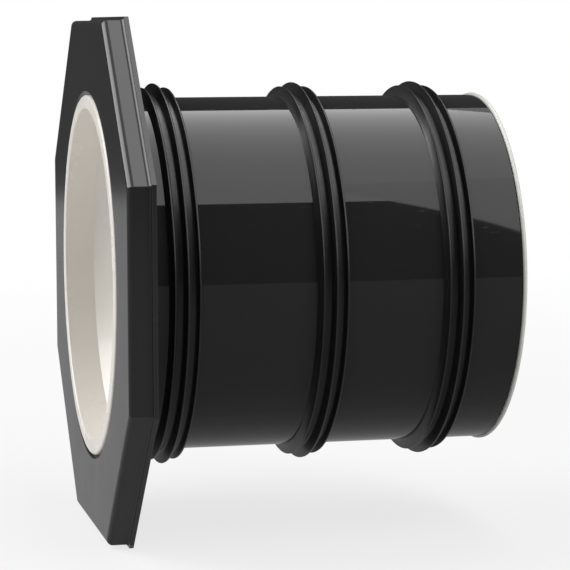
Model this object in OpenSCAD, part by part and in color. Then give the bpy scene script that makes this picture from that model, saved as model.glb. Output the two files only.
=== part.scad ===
// Push-in toilet flange for a soil pipe: an octagonal plate on a ribbed barrel, with an inner liner.
// The barrel's axis is +X, from the plate's front face at X = 0 towards the tail. +Z is up.

/* [Soil pipe and barrel] */
// Inner diameter of the soil pipe that the flange is pushed into
pipe_bore_d = 103.6; // [96:0.1:130]
// Radial gap between the barrel and the pipe's wall
pipe_gap = 2.3; // [1.5:0.1:4]
// Length from the plate's front face to the tail
overall_l = 112.7; // [85:0.1:180]
// Wall of the barrel
barrel_wall = 4.4; // [3.6:0.1:7]
// Wall left in the barrel around the liner's wide mouth
barrel_mouth_wall = 1.3; // [1:0.1:2]
// Bevel of the barrel's tail edge
barrel_bevel = 0.3; // [0.1:0.1:0.8]

/* [Flange plate] */
// Plate's width across the flats at its front
plate_flats = 142; // [118:0.5:180]
// Thickness of the whole plate
plate_t = 7.3; // [6:0.1:12]
// Radius of the plate's front edge
plate_edge_r = 1.7; // [0.8:0.1:3]
// Thickness of the rim round the plate's back
rim_t = 1.2; // [0.8:0.1:1.8]
// How far the rim stands out past the plate's sides
rim_proud = 1; // [0.4:0.1:1.4]
// Bevel of the plate's bore round the liner's collar
plate_bore_bevel = 1; // [0.3:0.1:1.5]

/* [Liner] */
// Wall of the liner's tube
liner_wall = 1.8; // [1.6:0.1:3]
// Wall of the liner's wide mouth
mouth_wall = 1.6; // [1.2:0.1:2.5]
// How deep the wide mouth is, from the plate's front face
mouth_depth = 8.35; // [7:0.05:14]
// Length of the taper from the mouth down to the tube
taper_l = 5; // [3:0.1:12]
// How far the collar reaches over the barrel's end
collar_overlap = 0.9; // [0.5:0.1:2]
// Depth of the collar's seat in the plate
collar_seat_depth = 2.75; // [2:0.05:4]
// How far the collar stands out of the plate's front face
collar_proud = 0.25; // [0.1:0.05:0.25]
// Radius of the collar's outer edge
collar_edge_r = 0.7; // [0.2:0.1:1]

/* [Seal rings] */
// Distance from the plate's back to the front ring's middle lip
front_ring_offset = 11.6; // [10:0.1:30]
// Distance from the plate's back to the middle ring's middle lip
middle_ring_offset = 51.6; // [30:0.1:62]
// Distance from the tail to the rear ring's middle lip
rear_ring_offset = 18.9; // [16:0.1:22]
// Distance between neighbouring lips
lip_pitch = 3.3; // [2.7:0.1:4]
// How far a ring's middle lip is squeezed by the pipe's wall
middle_lip_squeeze = 1.7; // [0.8:0.05:2.2]
// How far a ring's side lips are squeezed by the pipe's wall
side_lip_squeeze = 0.55; // [0.3:0.05:0.8]
// Thickness of a lip at its crest
lip_crest_t = 0.5; // [0.3:0.05:0.7]
// Length of the ramp that leads up to a ring's first lip
first_ramp_l = 1.05; // [0.8:0.05:3]
// Length of the ramps from the valleys up to the other lips
lip_ramp_l = 0.9; // [0.7:0.05:1.2]
// Height of the valleys between the lips above the barrel
valley_h = 0.7; // [0.3:0.1:1]
// Depth of the groove that holds a seal ring
ring_groove_depth = 1.3; // [0.8:0.1:1.5]

/* [Inner seals and end ring] */
// Thickness of the squeezed O-rings between the liner and the barrel
o_ring_t = 1.8; // [1.4:0.1:2]
// Width of the squeezed O-rings along the barrel
o_ring_w = 2.6; // [2.2:0.1:4]
// Side room of an O-ring in its groove
o_ring_room = 0.3; // [0.1:0.1:0.6]
// Distance from the end of the taper to the mouth O-ring
mouth_o_ring_offset = 13.6; // [10:0.1:20]
// Distance from the tail to the tail O-ring
tail_o_ring_offset = 10.4; // [9:0.1:14]
// Thickness of the end ring's visible lip
end_ring_t = 1.1; // [0.8:0.1:2]
// How far the end ring stands out past the barrel
end_ring_proud = 0.6; // [0.2:0.1:1]
// Length of the end ring's hub inside the barrel
end_hub_l = 4.5; // [4:0.1:6]
// Wall of the end ring's hub
end_hub_wall = 2; // [1.5:0.1:2.5]
// Height of the bead that snaps into the liner's tail
snap_h = 0.5; // [0.3:0.1:0.7]

/* [Fits] */
// Radial clearance between two pieces that slide together
slide_fit = 0.1; // [0.05:0.01:0.2]
// Radial clearance where pieces are welded or squeezed
tight_fit = 0.05; // [0.02:0.01:0.1]

/* [Hidden] */
$fn = 96;

pipe_r = pipe_bore_d / 2;
barrel_r = pipe_r - pipe_gap;
barrel_bore_r = barrel_r - barrel_wall;
barrel_mouth_r = barrel_r - barrel_mouth_wall;
barrel_end_x = overall_l - end_ring_t;

liner_r = barrel_bore_r - slide_fit;
liner_bore_r = liner_r - liner_wall;
liner_mouth_r = barrel_mouth_r - slide_fit;
mouth_r = liner_mouth_r - mouth_wall;
taper_end_x = mouth_depth + taper_l;
collar_r = barrel_r + collar_overlap;
liner_end_inset = 0.2;
liner_end_x = overall_l - liner_end_inset;
liner_edge_bevel = 0.3;
// The taper's outer face lies a little further along than its inner face, so its wall stays even.
taper_shift = 0.25;

plate_socket_r = barrel_r + tight_fit;
collar_seat_r = collar_r + slide_fit;
rim_flats = plate_flats + 2 * rim_proud;
rim_x = plate_t - rim_t;
plate_span = 2 * rim_flats;
plate_sides = 8;

ring_groove_r = barrel_r - ring_groove_depth;
// A crest falls away a little towards the tail, and a hollow back leads down from it.
lip_crest_drop = 0.2;
lip_back_run = 0.5;
// A ring's first ramp starts half as a slope and half as a hollow; the valleys' ramps are all hollow.
first_ramp_slope = 0.5;
ramp_steps = 8;
crest_steps = 4;
front_ring_x = plate_t + front_ring_offset;
middle_ring_x = plate_t + middle_ring_offset;
rear_ring_x = overall_l - rear_ring_offset;
ring_start = lip_pitch + lip_crest_t / 2 + first_ramp_l + tight_fit;
ring_end = lip_pitch + lip_crest_t / 2 + lip_back_run + tight_fit;

o_groove_w = o_ring_w + 2 * o_ring_room;
o_groove_r = liner_r + o_ring_t + tight_fit;
mouth_o_ring_x = taper_end_x + mouth_o_ring_offset;
tail_o_ring_x = overall_l - tail_o_ring_offset;

end_ring_r = barrel_r + end_ring_proud;
end_hub_bore_r = liner_r + tight_fit;
end_hub_r = end_hub_bore_r + end_hub_wall;
end_hub_x = barrel_end_x - end_hub_l;
end_rebate_r = end_hub_r + tight_fit;
end_rebate_x = end_hub_x - slide_fit;
snap_w = 1;
snap_x = end_hub_x + end_hub_l / 2;
snap_groove_r = liner_r - snap_h;

// Turns a profile, drawn as [radius, X], round the barrel's axis.
module turned() {
    rotate([0, 90, 0]) rotate_extrude() children();
}

// A rectangle of the turned profile, from r0 to r1 and from x0 to x1.
module band(r0, r1, x0, x1) {
    translate([r0, x0]) square([r1 - r0, x1 - x0]);
}

// Section through the plate from flat to flat, as [X, across]: round front edge, coved rim at the back.
module plate_section() {
    cove_x = rim_x - rim_proud;
    difference() {
        union() {
            translate([plate_edge_r, -plate_flats / 2]) square([plate_t - plate_edge_r, plate_flats]);
            translate([0, plate_edge_r - plate_flats / 2])
                square([plate_t, plate_flats - 2 * plate_edge_r]);
            for (side = [-1, 1])
                translate([plate_edge_r, side * (plate_flats / 2 - plate_edge_r)]) circle(r = plate_edge_r);
            translate([cove_x, -rim_flats / 2]) square([plate_t - cove_x, rim_flats]);
        }
        for (side = [-1, 1])
            translate([cove_x, side * rim_flats / 2]) circle(r = rim_proud);
    }
}

// The octagonal plate without its bore: what the same section, turned to each pair of flats, has in common.
module plate_blank() {
    intersection_for (i = [0 : plate_sides / 2 - 1])
        rotate([i * 360 / plate_sides, 0, 0])
            rotate([90, 0, 0]) linear_extrude(height = plate_span, center = true) plate_section();
}

module flange_plate() {
    cut = 1;
    color("#3a3a3c") difference() {
        plate_blank();
        turned() union() {
            band(0, plate_socket_r, -cut, plate_t + cut);
            band(0, collar_seat_r, -cut, collar_seat_depth);
            polygon([[0, 0], [0, -cut], [collar_seat_r + plate_bore_bevel + cut, -cut],
                     [collar_seat_r, plate_bore_bevel], [0, plate_bore_bevel]]);
        }
    }
}

// The barrel: sockets into the plate up to the collar's seat, and carries the seal rings in grooves.
module barrel() {
    taper_x = mouth_depth + taper_shift;
    color("#242426") turned() difference() {
        polygon([[barrel_mouth_r, collar_seat_depth], [barrel_r, collar_seat_depth],
                 [barrel_r, barrel_end_x - barrel_bevel], [barrel_r - barrel_bevel, barrel_end_x],
                 [barrel_bore_r, barrel_end_x], [barrel_bore_r, taper_x + taper_l],
                 [barrel_mouth_r, taper_x]]);
        for (x = [front_ring_x, middle_ring_x, rear_ring_x])
            band(ring_groove_r, barrel_r + 1, x - ring_start, x + ring_end);
        for (x = [mouth_o_ring_x, tail_o_ring_x])
            band(barrel_bore_r - 1, o_groove_r, x - o_groove_w / 2, x + o_groove_w / 2);
        band(barrel_bore_r - 1, end_rebate_r, end_rebate_x, barrel_end_x + 1);
    }
}

// The liner: a collar in the plate, a wide mouth for the pan's outlet, a taper and a long tube.
module liner() {
    collar_x = -collar_proud;
    taper_x = mouth_depth + taper_shift - slide_fit / 2;
    color("#e9e3d8") turned() difference() {
        union() {
            polygon([[mouth_r + collar_proud, collar_x], [collar_r - collar_edge_r, collar_x],
                     [collar_r - collar_edge_r, collar_x + collar_edge_r],
                     [collar_r, collar_x + collar_edge_r],
                     [collar_r, collar_seat_depth], [liner_mouth_r, collar_seat_depth],
                     [liner_mouth_r, taper_x], [liner_r, taper_x + taper_l],
                     [liner_r, liner_end_x], [liner_bore_r + liner_edge_bevel, liner_end_x],
                     [liner_bore_r, liner_end_x - liner_edge_bevel], [liner_bore_r, taper_end_x],
                     [mouth_r, mouth_depth], [mouth_r, 0]]);
            translate([collar_r - collar_edge_r, collar_x + collar_edge_r]) circle(r = collar_edge_r);
        }
        band(snap_groove_r, liner_r + 1, snap_x - snap_w / 2 - slide_fit, snap_x + snap_w / 2 + slide_fit);
    }
}

// The end ring: a rounded lip behind the barrel's end, and a hub that snaps on to the liner's tail.
module end_ring() {
    round_r = end_ring_t / 2;
    lip_r = end_ring_r - round_r;
    bead_r = end_hub_bore_r - snap_h;
    color("#c9c7c1") turned() union() {
        polygon([[end_hub_bore_r, end_hub_x], [end_hub_r, end_hub_x], [end_hub_r, barrel_end_x],
                 [lip_r, barrel_end_x], [lip_r, overall_l], [end_hub_bore_r, overall_l],
                 [end_hub_bore_r, snap_x + snap_w / 2], [bead_r, snap_x],
                 [end_hub_bore_r, snap_x - snap_w / 2]]);
        translate([lip_r, overall_l - round_r]) circle(r = round_r);
    }
}

// Point i of a hollow ramp from [r0, x0] up to [r1, x1]: an elliptic arc, straightened by the share slope.
function ramp_point(i, r0, x0, r1, x1, slope) =
    let (a = 90 * i / ramp_steps, rise = slope * sin(a) + (1 - slope) * (1 - cos(a)))
    [r0 + (r1 - r0) * rise, x0 + (x1 - x0) * sin(a)];

// Points of a lip with its crest at x: a ramp that starts at r0, the crest, and a back that ends at back_r.
function lip(r0, ramp_l, slope, crest_r, x, back_r) =
    let (front_x = x - lip_crest_t / 2, back_x = x + lip_crest_t / 2, low_crest_r = crest_r - lip_crest_drop)
    concat(
        [for (i = [0 : ramp_steps]) ramp_point(i, r0, front_x - ramp_l, crest_r, front_x, slope)],
        [for (i = [1 : crest_steps])
            let (a = 90 * i / crest_steps)
            [low_crest_r + lip_crest_drop * cos(a), front_x + lip_crest_t * sin(a)]],
        [for (i = [ramp_steps - 1 : -1 : 0])
            ramp_point(i, back_r, back_x + lip_back_run, low_crest_r, back_x, 0)]);

// A seal ring with three lips round its middle lip at ring_x, and a foot in the barrel's groove.
module seal_ring(ring_x) {
    foot_r = ring_groove_r + tight_fit;
    valley_r = barrel_r + valley_h;
    side_r = pipe_r + side_lip_squeeze;
    middle_r = pipe_r + middle_lip_squeeze;
    color("#1d1d1f") turned() polygon(concat(
        [[foot_r, ring_x - ring_start + tight_fit]],
        lip(barrel_r, first_ramp_l, first_ramp_slope, side_r, ring_x - lip_pitch, valley_r),
        lip(valley_r, lip_ramp_l, 0, middle_r, ring_x, valley_r),
        lip(valley_r, lip_ramp_l, 0, side_r, ring_x + lip_pitch, barrel_r),
        [[foot_r, ring_x + ring_end - tight_fit]]));
}

module seal_ring_front() { seal_ring(front_ring_x); }
module seal_ring_middle() { seal_ring(middle_ring_x); }
module seal_ring_rear() { seal_ring(rear_ring_x); }

// An O-ring squeezed between the liner and its groove in the barrel, so its section has flat sides.
module o_ring(ring_x) {
    section_r = o_ring_t / 2;
    mid_r = liner_r + tight_fit / 2 + section_r;
    color("#18181a") turned() union() {
        for (side = [-1, 1])
            translate([mid_r, ring_x + side * (o_ring_w / 2 - section_r)]) circle(r = section_r);
        band(mid_r - section_r, mid_r + section_r,
             ring_x - o_ring_w / 2 + section_r, ring_x + o_ring_w / 2 - section_r);
    }
}

module mouth_o_ring() { o_ring(mouth_o_ring_x); }
module tail_o_ring() { o_ring(tail_o_ring_x); }

flange_plate();
barrel();
liner();
end_ring();
seal_ring_front();
seal_ring_middle();
seal_ring_rear();
mouth_o_ring();
tail_o_ring();
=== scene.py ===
"""Push-in toilet flange: finishes, floor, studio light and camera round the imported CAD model, in metres."""
import math

import bpy
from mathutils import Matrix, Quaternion, Vector


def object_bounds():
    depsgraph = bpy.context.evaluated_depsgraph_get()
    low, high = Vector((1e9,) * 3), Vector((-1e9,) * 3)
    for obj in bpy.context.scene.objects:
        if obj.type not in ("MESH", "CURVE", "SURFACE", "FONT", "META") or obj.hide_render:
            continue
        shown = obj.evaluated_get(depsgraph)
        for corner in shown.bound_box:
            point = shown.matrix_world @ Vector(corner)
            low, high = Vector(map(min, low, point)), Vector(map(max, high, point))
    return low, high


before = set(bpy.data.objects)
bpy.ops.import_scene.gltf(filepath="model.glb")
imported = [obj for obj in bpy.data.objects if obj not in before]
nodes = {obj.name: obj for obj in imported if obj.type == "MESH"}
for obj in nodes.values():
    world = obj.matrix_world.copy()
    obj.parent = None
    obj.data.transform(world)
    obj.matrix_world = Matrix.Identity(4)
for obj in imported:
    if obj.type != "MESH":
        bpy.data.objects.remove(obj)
cad_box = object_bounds()
low, high = cad_box
centre = (low + high) / 2


# ---------------------------------------------------------------- node helpers

class Nodes:
    """A material's or world's node tree, with short calls for adding and linking nodes."""

    def __init__(self, tree):
        self.tree = tree
        tree.nodes.clear()

    def add(self, kind, **settings):
        node = self.tree.nodes.new(kind)
        for name, value in settings.items():
            setattr(node, name, value)
        return node

    def link(self, output, target):
        self.tree.links.new(output, target)

    def value(self, target, source):
        """Sets a socket to a number or colour, or links it to an output."""
        if hasattr(source, "links"):
            self.link(source, target)
        else:
            target.default_value = source

    def stretch(self, vector, scale):
        """The vector with each axis multiplied by its own scale."""
        node = self.add("ShaderNodeMapping")
        self.link(vector, node.inputs["Vector"])
        node.inputs["Scale"].default_value = scale
        return node.outputs["Vector"]

    def noise(self, vector, scale, detail=2.0, roughness=0.5):
        node = self.add("ShaderNodeTexNoise")
        self.link(vector, node.inputs["Vector"])
        node.inputs["Scale"].default_value = scale
        node.inputs["Detail"].default_value = detail
        node.inputs["Roughness"].default_value = roughness
        return node.outputs["Fac"]

    def ramp(self, source, start, end, to_start=0.0, to_end=1.0, smooth=False):
        """Maps start..end to to_start..to_end, clamped."""
        node = self.add("ShaderNodeMapRange")
        if smooth:
            node.interpolation_type = "SMOOTHSTEP"
        self.link(source, node.inputs["Value"])
        limits = (("From Min", start), ("From Max", end), ("To Min", to_start), ("To Max", to_end))
        for name, number in limits:
            node.inputs[name].default_value = number
        return node.outputs["Result"]

    def math(self, operation, a, b=0.0):
        node = self.add("ShaderNodeMath", operation=operation)
        self.value(node.inputs[0], a)
        self.value(node.inputs[1], b)
        return node.outputs[0]

    def mix(self, factor, a, b):
        node = self.add("ShaderNodeMix", data_type="RGBA")
        self.value(node.inputs[0], factor)
        self.value(node.inputs[6], a)
        self.value(node.inputs[7], b)
        return node.outputs[2]

    def bump(self, height, distance, strength):
        node = self.add("ShaderNodeBump")
        self.link(height, node.inputs["Height"])
        node.inputs["Distance"].default_value = distance
        node.inputs["Strength"].default_value = strength
        return node.outputs["Normal"]

    def scratches(self, coords, scale, threshold):
        """Thin, short scratches in two directions: 1 in a scratch, 0 elsewhere."""
        lines = []
        for stretch in ((1.0, 14.0, 1.0), (1.0, 1.0, 16.0)):
            streak = self.noise(self.stretch(coords, stretch), scale, 1.0)
            lines.append(self.ramp(streak, threshold, threshold + 0.03))
        return self.math("MAXIMUM", lines[0], lines[1])

    def worn_edges(self, radius):
        """1 along sharp edges, where handling rubs the surface paler and rougher; 0 on flat faces."""
        rounded = self.add("ShaderNodeBevel")
        rounded.inputs["Radius"].default_value = radius
        face = self.add("ShaderNodeNewGeometry")
        likeness = self.add("ShaderNodeVectorMath", operation="DOT_PRODUCT")
        self.link(rounded.outputs["Normal"], likeness.inputs[0])
        self.link(face.outputs["Normal"], likeness.inputs[1])
        return self.ramp(likeness.outputs["Value"], 0.99, 0.90)

    def seen_rays(self):
        """1 for the rays that see the white background: camera, glossy and transmission rays."""
        rays = self.add("ShaderNodeLightPath").outputs
        mirrored = self.math("MAXIMUM", rays["Is Glossy Ray"], rays["Is Transmission Ray"])
        return self.math("MAXIMUM", rays["Is Camera Ray"], mirrored)


def new_material(name):
    """A material with a Principled shader, and its object-space coordinates in metres."""
    material = bpy.data.materials.new(name)
    material.use_nodes = True
    tree = Nodes(material.node_tree)
    shader = tree.add("ShaderNodeBsdfPrincipled")
    output = tree.add("ShaderNodeOutputMaterial")
    tree.link(shader.outputs["BSDF"], output.inputs["Surface"])
    coords = tree.add("ShaderNodeTexCoord").outputs["Object"]
    return material, tree, shader, coords


def dress(name, material):
    mesh = nodes[name].data
    mesh.materials.clear()
    mesh.materials.append(material)


def grey(level):
    return (level, level, level, 1.0)


def tint(red, green, blue):
    return (red, green, blue, 1.0)


# ---------------------------------------------------------------- materials

def plate_plastic():
    """Satin black moulded plastic with a fine spark grain and faint handling marks."""
    material, tree, shader, coords = new_material("plate_plastic")
    cloud = tree.noise(coords, 60.0, 3.0)
    grain = tree.noise(coords, 2600.0, 2.0)
    marks = tree.scratches(coords, 220.0, 0.70)
    edges = tree.worn_edges(0.0005)
    sockets = shader.inputs
    body = tree.mix(cloud, grey(0.013), grey(0.018))
    tree.value(sockets["Base Color"], tree.mix(edges, body, grey(0.035)))
    rough = tree.ramp(cloud, 0.35, 0.65, 0.15, 0.19)
    wear = tree.math("MAXIMUM", tree.math("MULTIPLY", marks, 0.08), tree.math("MULTIPLY", edges, 0.10))
    tree.value(sockets["Roughness"], tree.math("ADD", rough, wear))
    sockets["IOR"].default_value = 1.44
    tree.value(sockets["Normal"], tree.bump(grain, 0.00001, 0.35))
    return material


def barrel_plastic():
    """Glossy black pipe plastic: slight flow waves along the mould, soft dust and hairline scratches."""
    material, tree, shader, coords = new_material("barrel_plastic")
    cloud = tree.noise(coords, 45.0, 3.0)
    waves = tree.noise(tree.stretch(coords, (0.25, 1.0, 1.0)), 70.0, 2.0)
    marks = tree.scratches(coords, 160.0, 0.72)
    sockets = shader.inputs
    tree.value(sockets["Base Color"], tree.mix(cloud, grey(0.015), grey(0.018)))
    rough = tree.ramp(cloud, 0.35, 0.65, 0.025, 0.045)
    tree.value(sockets["Roughness"], tree.math("ADD", rough, tree.math("MULTIPLY", marks, 0.10)))
    sockets["IOR"].default_value = 1.33
    tree.value(sockets["Normal"], tree.bump(waves, 0.00003, 0.20))
    return material


def seal_rubber():
    """Black rubber with a matt, slightly pitted skin."""
    material, tree, shader, coords = new_material("seal_rubber")
    cloud = tree.noise(coords, 90.0, 3.0)
    grain = tree.noise(coords, 1500.0, 3.0, 0.7)
    sockets = shader.inputs
    tree.value(sockets["Base Color"], tree.mix(cloud, grey(0.010), grey(0.016)))
    tree.value(sockets["Roughness"], tree.ramp(grain, 0.3, 0.7, 0.26, 0.42))
    sockets["IOR"].default_value = 1.42
    tree.value(sockets["Normal"], tree.bump(grain, 0.00004, 0.8))
    return material


def liner_plastic():
    """Warm white glossy plastic with a faint cloudiness."""
    material, tree, shader, coords = new_material("liner_plastic")
    cloud = tree.noise(coords, 50.0, 4.0)
    skin = tree.noise(coords, 400.0, 2.0)
    sockets = shader.inputs
    tree.value(sockets["Base Color"], tree.mix(cloud, tint(0.79, 0.755, 0.705), tint(0.82, 0.785, 0.735)))
    tree.value(sockets["Roughness"], tree.ramp(cloud, 0.35, 0.65, 0.22, 0.30))
    sockets["IOR"].default_value = 1.45
    tree.value(sockets["Normal"], tree.bump(skin, 0.00002, 0.3))
    return material


def ring_plastic():
    """Light grey-white plastic of the end ring."""
    material, tree, shader, coords = new_material("ring_plastic")
    cloud = tree.noise(coords, 70.0, 3.0)
    sockets = shader.inputs
    tree.value(sockets["Base Color"], tree.mix(cloud, tint(0.60, 0.60, 0.57), tint(0.64, 0.64, 0.61)))
    tree.value(sockets["Roughness"], tree.ramp(cloud, 0.35, 0.65, 0.14, 0.20))
    sockets["IOR"].default_value = 1.50
    return material


dress("flange_plate", plate_plastic())
dress("barrel", barrel_plastic())
dress("liner", liner_plastic())
dress("end_ring", ring_plastic())
rubber = seal_rubber()
for name in ("seal_ring_front", "seal_ring_middle", "seal_ring_rear", "mouth_o_ring", "tail_o_ring"):
    dress(name, rubber)


# ---------------------------------------------------------------- floor and cards

FLOOR_HALF = 6.0
FLOOR_ALBEDO = 0.58
WHITE_NEAR = 0.76
WHITE_NEAR_RADIUS = 0.15
WHITE_FAR_RADIUS = 0.75


def floor_paint():
    """Pale matt paint that keeps the shadow near the object and goes to plain white further out."""
    material, tree, shader, coords = new_material("floor_paint")
    cloud = tree.noise(coords, 3.0, 2.0)
    sockets = shader.inputs
    tree.value(sockets["Base Color"], tree.mix(cloud, grey(FLOOR_ALBEDO), grey(FLOOR_ALBEDO * 1.02)))
    sockets["Roughness"].default_value = 0.8
    sockets["Specular IOR Level"].default_value = 0.0
    from_centre = tree.add("ShaderNodeVectorMath", operation="DISTANCE")
    tree.link(coords, from_centre.inputs[0])
    from_centre.inputs[1].default_value = (centre.x, 0.0, low.z)
    away = from_centre.outputs["Value"]
    share = tree.ramp(away, WHITE_NEAR_RADIUS, WHITE_FAR_RADIUS, WHITE_NEAR, 1.0, smooth=True)
    white = tree.add("ShaderNodeEmission")
    blend = tree.add("ShaderNodeMixShader")
    tree.link(tree.math("MULTIPLY", share, tree.seen_rays()), blend.inputs[0])
    tree.link(shader.outputs["BSDF"], blend.inputs[1])
    tree.link(white.outputs["Emission"], blend.inputs[2])
    output = next(node for node in material.node_tree.nodes if node.type == "OUTPUT_MATERIAL")
    tree.link(blend.outputs["Shader"], output.inputs["Surface"])
    return material


def card_light(name, level):
    """An even painted glow, given as emission instead of being lit: the brightness that a card or a light
    panel shows in a reflection.
    """
    material = bpy.data.materials.new(name)
    material.use_nodes = True
    tree = Nodes(material.node_tree)
    glow = tree.add("ShaderNodeEmission")
    glow.inputs["Color"].default_value = grey(level)
    output = tree.add("ShaderNodeOutputMaterial")
    tree.link(glow.outputs["Emission"], output.inputs["Surface"])
    return material


def panel(name, centre_at, across, up, material):
    """A flat rectangle round centre_at, with half sides across and up."""
    corners = [centre_at + a * across + b * up for a, b in ((-1, -1), (1, -1), (1, 1), (-1, 1))]
    mesh = bpy.data.meshes.new(name)
    mesh.from_pydata(corners, [], [(0, 1, 2, 3)])
    mesh.materials.append(material)
    piece = bpy.data.objects.new(name, mesh)
    bpy.context.scene.collection.objects.link(piece)
    return piece


def reflected_card(name, foot, top, level):
    """A studio card across the set that glows at one even, painted brightness instead of being lit, seen by
    reflections only; foot and top are each given as (Y, Z).
    """
    foot_at, top_at = Vector((centre.x, *foot)), Vector((centre.x, *top))
    card = panel(name, (foot_at + top_at) / 2, Vector((CARD_HALF, 0, 0)), (top_at - foot_at) / 2,
                 card_light(name + "_glow_level", level))
    card.visible_camera = False
    card.visible_diffuse = False
    card.visible_shadow = False


panel("floor", Vector((0, 0, low.z)), Vector((FLOOR_HALF, 0, 0)), Vector((0, FLOOR_HALF, 0)), floor_paint())

# The overhead strip's front and back edges, as angles above the horizon; the cards end where it starts.
STRIP_HEIGHT = 1.2
STRIP_FRONT = math.radians(48.9)
STRIP_BACK = math.radians(44.9)
STRIP_X = 0.33
STRIP_WIDTH = 0.5
STRIP_RADIANCE = 2.7

CARD_HALF = 3.0
CARD_OVERLAP = 0.01
FRONT_CARD_LEVEL = 0.04
BACK_CARD_LEVEL = 0.06
MAT_LEVEL = 0.38
FRONT_CARD_Y = -0.96
CARD_FOOT_DIP = math.radians(2.2)
FRONT_CARD_FOOT = FRONT_CARD_Y * math.tan(CARD_FOOT_DIP)
BACK_CARD_Y = 1.30
MAT_FRONT_Y = -2.4
MAT_Z = low.z + 0.001
FRONT_CARD_TOP = -FRONT_CARD_Y * math.tan(STRIP_FRONT) + CARD_OVERLAP
BACK_CARD_TOP = BACK_CARD_Y * math.tan(STRIP_BACK) + CARD_OVERLAP
# The cards and the mat glow at fixed painted levels instead of being lit. The mat is a painted reflection of
# the floor and shows no shadow.
reflected_card("front_card", (FRONT_CARD_Y, FRONT_CARD_FOOT), (FRONT_CARD_Y, FRONT_CARD_TOP),
               FRONT_CARD_LEVEL)
reflected_card("back_card", (BACK_CARD_Y, low.z), (BACK_CARD_Y, BACK_CARD_TOP), BACK_CARD_LEVEL)
reflected_card("painted_floor_reflection", (MAT_FRONT_Y, MAT_Z), (BACK_CARD_Y, MAT_Z), MAT_LEVEL)


# ---------------------------------------------------------------- light

def softbox(name, place, aim, width, depth, radiance):
    """A rectangular area light at place that faces aim, with the brightness its surface shows."""
    data = bpy.data.lights.new(name, "AREA")
    data.shape = "RECTANGLE"
    data.size = width
    data.size_y = depth
    data.energy = radiance * math.pi * width * depth
    lamp = bpy.data.objects.new(name, data)
    lamp.location = place
    lamp.rotation_euler = (aim - place).to_track_quat("-Z", "Y").to_euler()
    bpy.context.scene.collection.objects.link(lamp)


def glowing_panel(name, place, aim, width, depth, radiance, roll):
    """A flat light panel like a softbox, but one that hides the lamp behind it, so the two don't add up."""
    facing = (aim - place).to_track_quat("-Z", "Y") @ Quaternion((0, 0, 1), roll)
    across, up = facing @ Vector((width / 2, 0, 0)), facing @ Vector((0, depth / 2, 0))
    light_panel = panel(name, place, across, up, card_light(name + "_glow", radiance))
    light_panel.visible_camera = False
    light_panel.visible_shadow = False


def toward(azimuth, elevation, distance):
    """The point this far from the object's centre; azimuth 0 is -Y and 90 is +X."""
    a, e = math.radians(azimuth), math.radians(elevation)
    return centre + distance * Vector((math.sin(a) * math.cos(e), -math.cos(a) * math.cos(e), math.sin(e)))


strip_front_y = -STRIP_HEIGHT / math.tan(STRIP_FRONT)
strip_back_y = STRIP_HEIGHT / math.tan(STRIP_BACK)
strip_place = Vector((STRIP_X, (strip_front_y + strip_back_y) / 2, STRIP_HEIGHT))
strip_aim = strip_place - Vector((0, 0, 1))
softbox("overhead_strip", strip_place, strip_aim, STRIP_WIDTH, strip_back_y - strip_front_y, STRIP_RADIANCE)

PANEL_RADIANCE = 3.3
PANEL_ROLL = math.radians(-10)
glowing_panel("right_panel", toward(40, 33, 0.9), centre, 0.46, 0.80, PANEL_RADIANCE, PANEL_ROLL)

LEFT_BOX_SIDE = 0.95
LEFT_BOX_RADIANCE = 4.8
softbox("left_box", toward(-108, 38, 1.1), centre, LEFT_BOX_SIDE, LEFT_BOX_SIDE, LEFT_BOX_RADIANCE)

AMBIENT = 0.22
world = bpy.data.worlds.new("studio")
bpy.context.scene.world = world
world.use_nodes = True
sky = Nodes(world.node_tree)
background = sky.add("ShaderNodeBackground")
output = sky.add("ShaderNodeOutputWorld")
sky.link(background.outputs["Background"], output.inputs["Surface"])
sky.link(sky.ramp(sky.seen_rays(), 0.0, 1.0, AMBIENT, 1.0), background.inputs["Strength"])
background.inputs["Color"].default_value = grey(1.0)


# ---------------------------------------------------------------- camera

CAMERA_AZIMUTH = -12.8
CAMERA_ELEVATION = 6.15
CAMERA_ROLL = math.radians(-0.17)
CAMERA_DISTANCE = 0.690
CAMERA_LENS = 152.4
AIM_POINT = Vector((0.0566, 0.0, -0.0043))

camera_data = bpy.data.cameras.new("camera")
camera_data.lens = CAMERA_LENS
camera_data.sensor_width = 36.0
camera_data.clip_start = 0.01
camera_data.clip_end = 50.0
camera = bpy.data.objects.new("camera", camera_data)
back = toward(CAMERA_AZIMUTH, CAMERA_ELEVATION, 1.0) - centre
camera.location = AIM_POINT + back * CAMERA_DISTANCE
turn = (-back).to_track_quat("-Z", "Y") @ Quaternion((0, 0, 1), CAMERA_ROLL)
camera.rotation_euler = turn.to_euler()
bpy.context.scene.collection.objects.link(camera)
bpy.context.scene.camera = camera

bpy.context.scene.view_settings.view_transform = "Standard"
